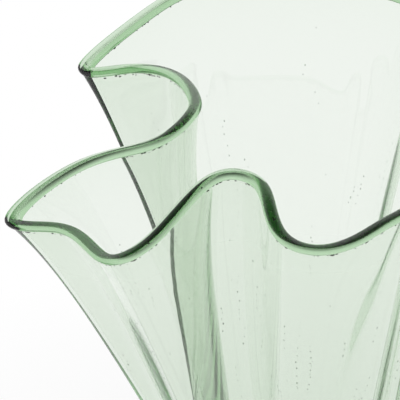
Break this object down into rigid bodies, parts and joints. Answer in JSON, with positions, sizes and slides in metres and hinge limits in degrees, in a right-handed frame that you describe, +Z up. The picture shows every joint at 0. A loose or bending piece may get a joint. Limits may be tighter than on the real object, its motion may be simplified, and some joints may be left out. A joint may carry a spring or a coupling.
{
  "type": "fan vase",
  "caption": "Glass vase whose thin wall opens upwards like a fan in deep upright folds, with a thick rounded lip and a heavy flat pad to stand on.",
  "frame": {"origin": "centre of the flat underside of the pad, on the surface the vase stands on", "axes": "+Z up along the axis of the foot; the pictured side of the mouth faces -Y, with its wide double lobe towards -X and -Y"},
  "size_m": [0.2888, 0.2445, 0.2857],
  "materials": {
    "wall_glass": "clear pale green, smooth and glossy, with a few small bubbles",
    "lip_glass": "clear green, fire polished",
    "pad_glass": "clear pale green, ground flat underneath"
  },
  "bodies": {
    "root": {"vase_body": "wall_glass", "lip_wrap": "lip_glass", "base_pad": "pad_glass"}
  },
  "joints": []
}
